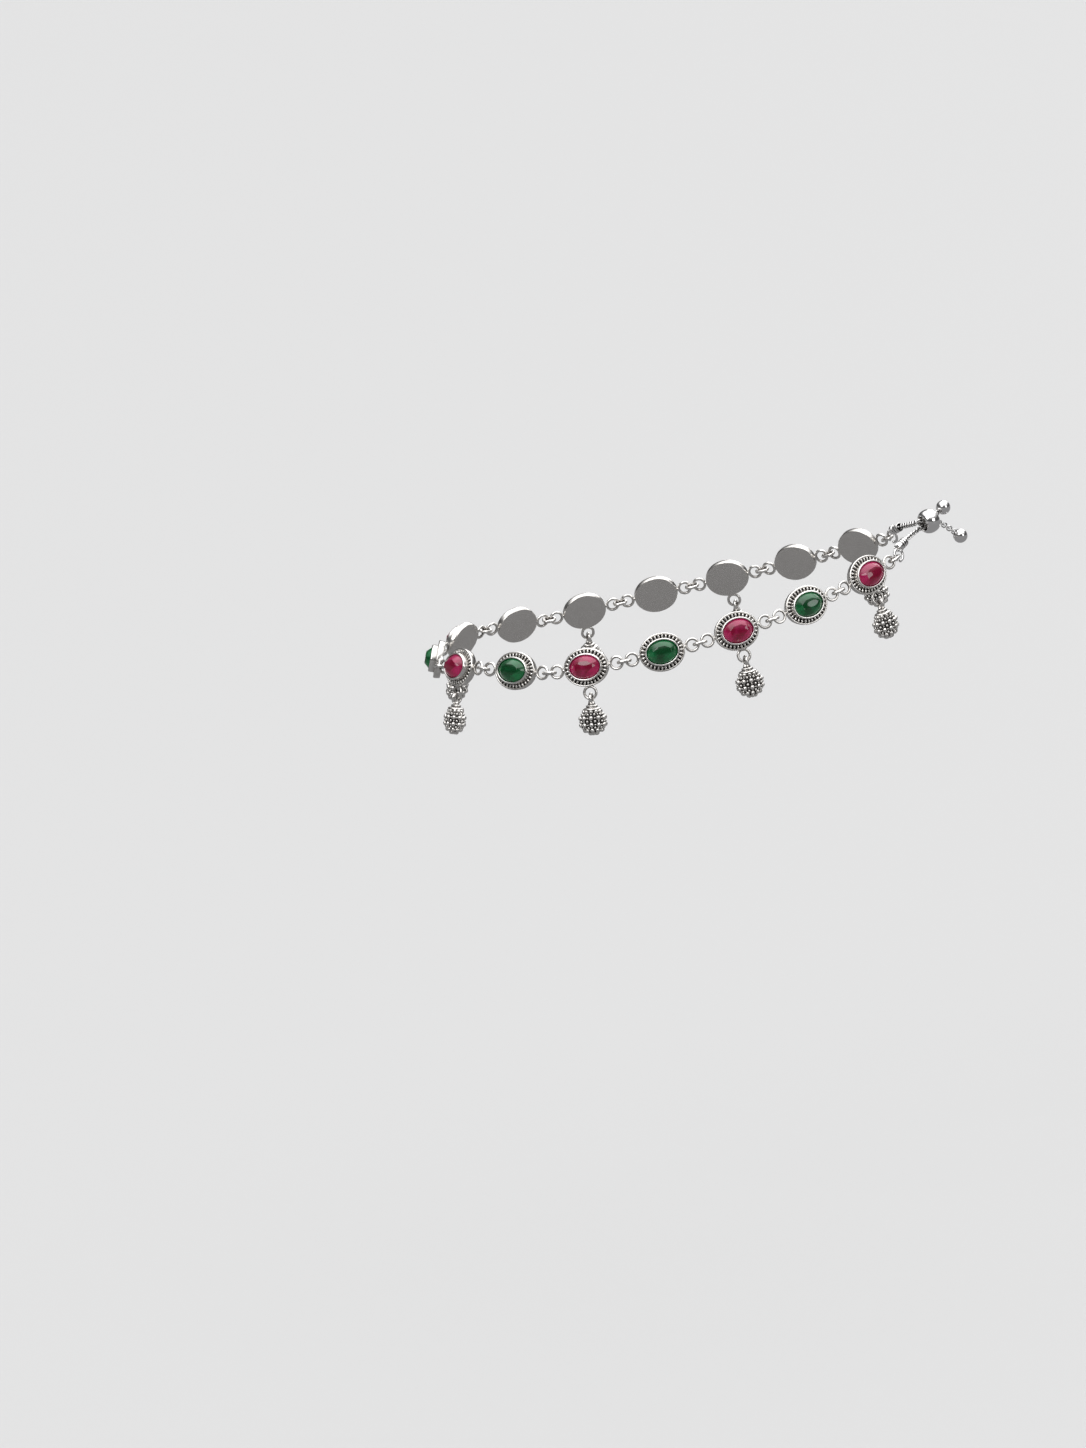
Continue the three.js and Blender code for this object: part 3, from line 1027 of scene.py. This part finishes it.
def makeDrop():
    bailRadius = plate["ringWire"] / 2 + drop["clearance"] + drop["wire"] / 2
    bail = wireRing(bailRadius, drop["wire"], turn=(0, math.pi / 2, 0), segments=32, sides=14)
    smooth(bail)
    paintWire(bail, (0, 0, 0), bailRadius)
    made = joinPieces([makeBerryCore(), makeSeam(), makeCollar(), bail, *makeGranules()], "berry")
    setMaterial(made, oxidisedSilver)
    return made


def dropFrame(plateFrame):
    turned = plateFrame.to_3x3()
    hook = plateFrame @ Vector((0, -(lowerRingDown + ringRadius), 0))
    up = turned.col[1].lerp(upright, 1 - drop["follow"]).normalized()
    outward = turned.col[2]
    inward = -(outward - up * outward.dot(up)).normalized()
    return makeFrame(inward.cross(up), inward, up, hook)


# A plate with its stone, and with a drop where the stone is a ruby
def placePlate(number, start, end):
    here = heldFrame(start, end)
    isRuby = number % 2 == 1
    master = rubyPlate if isRuby else greenPlate
    placePiece(master, f"plate{number}", here, f"setting_{number}")
    if isRuby:
        placePiece(rubyStone, f"rubyStone{number}", here, f"ruby_stone_{number}")
        placePiece(berry, f"berryDrop{number}", dropFrame(here), f"berry_drop_{number}")
    else:
        placePiece(greenStone, f"greenStone{number}", here, f"green_stone_{number}")


def placeLink(side, number, start, end):
    here = heldFrame(start, end)
    placePiece(wireLink, f"{side}Link{number}", here, f"{side}_link_{number}")


def strungPieces():
    front = loop["platesEachSide"] + 1
    placePlate(front, eyes[0], 1 - eyes[0])
    for step in range(front):
        held, holding = eyes[2 * step], eyes[2 * step + 1]
        placeLink("near", front - step, held, holding)
        placeLink("far", front + step, 1 - held, 1 - holding)
        if step < loop["platesEachSide"]:
            beyond = eyes[2 * step + 2]
            placePlate(front - 1 - step, holding, beyond)
            placePlate(front + 1 + step, 1 - holding, 1 - beyond)


rubyPlate = makePlate(True)
greenPlate = makePlate(False)
print("plates modelled")
rubyStone = makeStone(rubyGlass)
greenStone = makeStone(greenGlass)
wireLink = makeLink()
berry = makeDrop()
print("stones, links and berry drop modelled")
eyes = nearEyes()
strungPieces()
for master in (rubyPlate, greenPlate, rubyStone, greenStone, wireLink, berry):
    bpy.data.objects.remove(master)
print("plates, stones, links and drops strung")


# End caps
cap = {
    "length": 2.9,
    "diameter": 2.1,
    "throat": 1.75,
    "grooveShade": (-0.08, 0.03),  # black below the first and bright above the second, from the throat
    "forward": 2.0,  # from the wire that the last link holds to the cup
    "above": 1.2,  # the cup's middle over that wire
    "prongs": 5,
    "prongTurn": 0.25,
    "prongInset": 0.12,
    "prongLength": 0.6,
    "prongRoot": 0.1,
    "prongRadius": 0.34,
    "prongTip": 0.05,
    "prongRound": 0.03,
    "prongEdgeAngle": 30,
    "socket": 1.5,
    "socketDepth": 1.2,
    "mouth": 0.3,
    "mouthTarnish": 0.3,
    "ringFrom": 252,
    "ringTo": 560,
    "ringTarnish": 0.05,
    "tip": 0.35,  # radius of the ball on each end of the open ring
}
capEnd = cap["forward"] + cap["length"]


def capFrame(side):
    half = Vector((1, side, 1))
    share = eyes[-1]
    start = onLoop(share) * half
    along = (onLoop(nextEye(share, capEnd)) * half - start).normalized()
    return leaningFrame(start, along, side * leanAt(share))


def makeOpenRing():
    first, last = math.radians(cap["ringFrom"]), math.radians(cap["ringTo"])
    bpy.ops.mesh.primitive_circle_add(vertices=12, radius=plate["ringWire"] / 2, fill_type="NGON")
    piece = bpy.context.object
    startEdit(piece)
    rotate("X", math.pi / 2)
    move(ringRadius, 0, 0)
    bpy.ops.mesh.spin(steps=40, angle=last - first, center=(0, 0, 0), axis=(0, 0, -1))
    endEdit()
    tidyShell(piece)
    tips = []
    for angle in (0, last - first):
        spot = Vector((math.cos(angle), math.sin(angle), 0)) * ringRadius
        tips.append(beadAt((cap["tip"],) * 3, spot, 16, 10))
    made = joinPieces([piece, *tips], "openRing")
    made.data.transform(Matrix.Translation((ringRadius, 0, 0)) @ Matrix.Rotation(first, 4, "Z"))
    smooth(made)
    return made


def makeCup():
    wide, throat, long = cap["diameter"], cap["throat"], cap["length"]
    neck = (wide - throat) / 2
    rows = [
        (neck + 0.4, 0.12),
        (neck + 0.1, 0.02),
        (neck, 0.1),
        (neck - 0.08, 0.3),
        (0.02, 0.55),
        (0, 0.8),
        (0.03, 1.0),
        (0.12, 1.1),
        (neck + 0.16, 1.16),
        (neck + 0.16, 1.34),
        (0.08, 1.42),
        (0.03, 1.58),
        (0.08, 1.74),
        (neck + 0.14, 1.82),
        (neck + 0.14, 2.0),
        (0.1, 2.08),
        (0.06, 2.26),
        (0.1, 2.44),
        (neck + 0.1, 2.52),
        (neck + 0.1, 2.66),
        (0.12, 2.72),
        (0.12, long - 0.06),
        (0.18, long),
        ((wide - cap["socket"]) / 2, long),
        ((wide - cap["socket"]) / 2 + 0.02, long - cap["socketDepth"]),
    ]
    cup = turnUp(wide, wide, rows, 32)
    grooveRadii = [throat / 2 + shift for shift in cap["grooveShade"]]

    def cupTarnish(point):
        radius = math.hypot(point.x, point.y)
        if point.z < cap["mouth"]:
            return cap["mouthTarnish"]
        return 1 - between(*grooveRadii, radius)

    paintTarnish(cup, cupTarnish)
    smooth(cup, "turned")
    return cup


def makeProng(number):
    out = cap["throat"] / 2 - cap["prongInset"]
    angle = 2 * math.pi * (number + cap["prongTurn"]) / cap["prongs"]
    spot = (out * math.cos(angle), out * math.sin(angle), cap["prongRoot"] / 2)
    bpy.ops.mesh.primitive_cone_add(vertices=12, radius1=cap["prongRadius"], radius2=cap["prongTip"],
                                    depth=cap["prongLength"] + cap["prongRoot"],
                                    location=spot, rotation=(math.pi, 0, 0))
    prong = bpy.context.object
    applyAll(prong)
    bevelEdges(prong, cap["prongRound"], cap["prongEdgeAngle"])
    smooth(prong, "turned")
    paintTarnish(prong, lambda point: 0)
    return prong


def makeCap():
    cup = joinPieces([makeCup(), *[makeProng(number) for number in range(cap["prongs"])]], "cup")
    lying = Matrix.Rotation(math.pi / 2, 4, "Y")
    cup.data.transform(Matrix.Translation((cap["forward"], cap["above"], 0)) @ lying)
    ring = makeOpenRing()
    paintTarnish(ring, lambda point: cap["ringTarnish"])
    made = joinPieces([ring, cup], "cap")
    setMaterial(made, polishedSilver)
    return made


# Box chain, slider and tail balls
clasp = {
    "strand": 1.2,
    "gap": 0.24,  # between the strands in the slider
    "endGap": 0.2,
    "lead": 0.9,  # straight run before the slider
    "linkLong": 1.32,
    "linkWide": 1.25,
    "linkWire": 0.26,
    "linkCorner": 0.3,  # as a share of its width
    "linkInside": 0.4,  # as a share of its wire
    "linkTarnish": (0.05, 0.65),  # outside and inside
    "pitch": 0.77,
    "sliderDiameter": 5.1,
    "sliderLength": 3.3,
    "sliderBore": 2.9,
    "sliderLip": 0.2,  # from the bore out to the crest of each end
    "boreTarnish": 0.5,
    "sliderOut": 5.54,  # beyond the tips of the end caps
    "sliderLift": 2.75,
    "sliderTurn": 30,
    "sliderPitch": 16,
    "ball": 3.0,
    "ballHole": 0.3,
    "ballHoleAngle": 10,  # from the middle of the ball to the edge of the hole
    "ballHoleShade": (0.27, 0.1),  # black inside this radius and below this depth
    "upperTail": (2.5, 0.82),  # slider's face to the middle of the ball: past and up
    "lowerTail": (5.02, -5.17),
}

nearCap = capFrame(1)
farCap = capFrame(-1)
capTip = nearCap @ Vector((capEnd, cap["above"], 0))
sliderMiddle = Vector((capTip.x + clasp["sliderOut"], 0, capTip.z + clasp["sliderLift"]))
sliderAxis = Vector((1, 0, 0))
sliderAxis.rotate(Matrix.Rotation(-math.radians(clasp["sliderPitch"]), 3, "Y"))
sliderAxis.rotate(Matrix.Rotation(math.radians(clasp["sliderTurn"]), 3, "Z"))
sliderSide = upright.cross(sliderAxis).normalized()
sliderUp = sliderAxis.cross(sliderSide)


def fromSlider(along, up):
    return sliderMiddle + sliderAxis * along + sliderUp * up


def strandRoute(capPlace, level, tail):
    offset = level * (clasp["strand"] + clasp["gap"]) / 2
    half = clasp["sliderLength"] / 2
    inCap = [capEnd - cap["socketDepth"] + clasp["endGap"], capEnd]
    route = [capPlace @ Vector((x, cap["above"], 0)) for x in inCap]
    route += [fromSlider(along, offset) for along in (-half - clasp["lead"], -half, 0, half)]
    route.append(fromSlider(half + tail[0], offset + tail[1]))
    return route


# Places and directions spaced evenly along a route
def walkRoute(route, spacing, steps=1200):
    points = [curvePoint(route, step / steps) for step in range(steps + 1)]
    places = []
    travelled = spacing / 2
    for first, second in zip(points, points[1:]):
        travelled += (second - first).length
        if travelled >= spacing:
            travelled -= spacing
            places.append((second, (second - first).normalized()))
    return places


# A square loop of round wire with rounded corners, standing along z
def makeBoxLink():
    wire = clasp["linkWire"]
    long = clasp["linkLong"] - wire
    wide = clasp["linkWide"] - wire
    bpy.ops.mesh.primitive_plane_add(size=1)
    piece = bpy.context.object
    startEdit(piece)
    stretch(wide, long, 1)
    bpy.ops.mesh.bevel(offset=wide * clasp["linkCorner"], segments=3, affect="VERTICES")
    bpy.ops.mesh.select_all(action="SELECT")
    bpy.ops.mesh.delete(type="ONLY_FACE")
    endEdit()
    onlyActive(piece)
    bpy.ops.object.convert(target="CURVE")
    piece = bpy.context.object
    piece.data.bevel_depth = wire / 2
    piece.data.bevel_resolution = 1
    bpy.ops.object.convert(target="MESH")
    piece = bpy.context.object
    startEdit(piece)
    rotate("X", math.pi / 2)
    bpy.ops.mesh.normals_make_consistent(inside=False)
    endEdit()
    smooth(piece, "spun")
    inner = wire * clasp["linkInside"]

    def boxLinkTarnish(point):
        isInside = abs(point.x) < (wide - inner) / 2 and abs(point.z) < (long - inner) / 2
        return clasp["linkTarnish"][isInside]

    paintTarnish(piece, boxLinkTarnish)
    return piece


def makeBall(middle, direction):
    radius = clasp["ball"] / 2
    bpy.ops.mesh.primitive_uv_sphere_add(segments=40, ring_count=24, radius=radius)
    ball = bpy.context.object
    holeEdge = radius * math.cos(math.radians(clasp["ballHoleAngle"]))
    pickVertices(ball, lambda point: point.z > holeEdge)
    bpy.ops.mesh.extrude_region_move(TRANSFORM_OT_translate={"value": (0, 0, -clasp["ballHole"])})
    endEdit()
    smooth(ball, "turned")
    shadeRadius, shadeDepth = clasp["ballHoleShade"]

    def holeTarnish(point):
        isDeep = 0 < point.z < radius - shadeDepth
        return 1 if isDeep and math.hypot(point.x, point.y) < shadeRadius else 0

    paintTarnish(ball, holeTarnish)
    turned = direction.to_track_quat("Z", "Y").to_matrix().to_4x4()
    ball.data.transform(Matrix.Translation(middle) @ turned)
    return ball


def makeChain(name, route, node):
    box = makeBoxLink()
    ballMiddle = route[-1]
    parts = []
    places = walkRoute(route, clasp["pitch"])
    facing = places[0][1].orthogonal().normalized()
    for number, (place, direction) in enumerate(places):
        if (place - ballMiddle).length < clasp["ball"] / 2 - clasp["pitch"]:
            break
        facing = (facing - direction * facing.dot(direction)).normalized()
        turn = math.radians(45 if number % 2 else -45)
        side = facing * math.cos(turn) + direction.cross(facing) * math.sin(turn)
        here = makeFrame(side, direction.cross(side), direction, place)
        parts.append(copyMesh(box, f"{name}Link{number}", here))
    bpy.data.objects.remove(box)
    parts.append(makeBall(ballMiddle, direction))
    made = joinPieces(parts, name + "Parts")
    setMaterial(made, polishedSilver)
    placePiece(made, name, Matrix.Identity(4), node)
    bpy.data.objects.remove(made)


# A round bead: its section is an oval that bulges outward, turned about the bore
def makeSlider():
    lip = clasp["sliderLip"]
    radius = clasp["sliderBore"] / 2
    crest = radius + lip
    bulge = clasp["sliderDiameter"] / 2 - crest
    bpy.ops.mesh.primitive_circle_add(vertices=32)
    made = bpy.context.object
    startEdit(made)
    rotate("X", math.pi / 2)
    stretch(lip, 1, clasp["sliderLength"] / 2)
    endEdit()
    pickVertices(made, lambda point: point.x > smallest)
    stretch(bulge / lip, 1, 1)
    bpy.ops.mesh.select_all(action="SELECT")
    move(crest, 0, 0)
    bpy.ops.mesh.spin(steps=64, angle=2 * math.pi, center=(0, 0, 0), axis=(0, 0, 1))
    endEdit()
    tidyShell(made)
    smooth(made, "spun")

    def boreTarnish(point):
        return clasp["boreTarnish"] * (1 - between(radius, crest, math.hypot(point.x, point.y)))

    paintTarnish(made, boreTarnish)
    setMaterial(made, polishedSilver)
    here = makeFrame(sliderUp, -sliderSide, sliderAxis, sliderMiddle)
    placePiece(made, "sliderBead", here, "slider_bead")
    bpy.data.objects.remove(made)


endCap = makeCap()
placePiece(endCap, "nearEndCap", nearCap, "near_end_cap")
placePiece(endCap, "farEndCap", farCap, "far_end_cap")
bpy.data.objects.remove(endCap)
makeChain("nearChain", strandRoute(nearCap, -1, clasp["lowerTail"]), "near_chain")
makeChain("farChain", strandRoute(farCap, 1, clasp["upperTail"]), "far_chain")
makeSlider()
print("end caps, chain and slider in place")


# Pale floor, a sky of soft bands and wide soft lights
studio = {
    "floorHeight": -150,
    "floorRadius": 12000,
    "floorColour": (0.55, 0.55, 0.547, 1),
    "mirroredFloor": (0.18, 0.18, 0.182, 1),
    "floorFinish": {"Roughness": 0.8, "Specular IOR Level": 0.1},
    # Height of the direction, and how bright the sky is there
    "sky": [(0.0, 0.3), (0.05, 0.22), (0.14, 0.08), (0.45, 0.1), (0.66, 0.6), (0.82, 2.1)],
    "skyBlue": 1.01,  # blue as a share of the red and green
}


def makeFloor():
    bpy.ops.mesh.primitive_circle_add(vertices=64, radius=studio["floorRadius"] * mm, fill_type="NGON",
                                      location=(0, 0, studio["floorHeight"] * mm))
    floor = bpy.context.object
    floor.name = "studioFloor"
    material, tree, shader = newMaterial("paleFloor")
    # Metal mirrors a darker floor than the one seen, so that its undersides stay deep
    rays = addNode(tree, "ShaderNodeLightPath")
    mirrored = rays.outputs["Is Glossy Ray"]
    colour = mixColour(tree, mirrored, studio["floorColour"], studio["mirroredFloor"])
    tree.links.new(colour, shader.inputs["Base Color"])
    setInputs(shader, studio["floorFinish"])
    setMaterial(floor, material)


softLights = {
    # name: (direction it comes from, how wide it looks in degrees, strength)
    "keyLight": ((-0.55, -0.9, 0.75), 30, 0.8),
    "fillLight": ((0.8, -0.75, 0.4), 24, 0.4),
    "backLight": ((0.3, 1.0, 0.6), 34, 0.6),
}


# Wide soft lights from far away, so that the floor is evenly lit
def makeLights():
    for name, (source, width, strength) in softLights.items():
        bpy.ops.object.light_add(type="SUN", location=source)
        lamp = bpy.context.object
        lamp.name = name
        lamp.data.energy = strength
        lamp.data.angle = math.radians(width)
        lamp.rotation_mode = "QUATERNION"
        lamp.rotation_quaternion = Vector(source).to_track_quat("Z", "Y")


def makeWorld():
    world = bpy.data.worlds.new("studioSky")
    bpy.context.scene.world = world
    world.use_nodes = True
    tree = world.node_tree
    place = addNode(tree, "ShaderNodeTexCoord")
    parts = addNode(tree, "ShaderNodeSeparateXYZ")
    bands = addNode(tree, "ShaderNodeValToRGB")
    tree.links.new(place.outputs["Generated"], parts.inputs[0])
    tree.links.new(parts.outputs["Z"], bands.inputs["Fac"])
    stops = bands.color_ramp.elements
    stops.remove(stops[0])
    for number, (height, level) in enumerate(studio["sky"]):
        stop = stops[0] if number == 0 else stops.new(height)
        stop.position = height
        stop.color = (level, level, level * studio["skyBlue"], 1)
    tree.links.new(bands.outputs["Color"], tree.nodes["Background"].inputs["Color"])


makeFloor()
makeLights()
makeWorld()
bpy.context.scene.view_settings.view_transform = "Standard"
print("studio set")
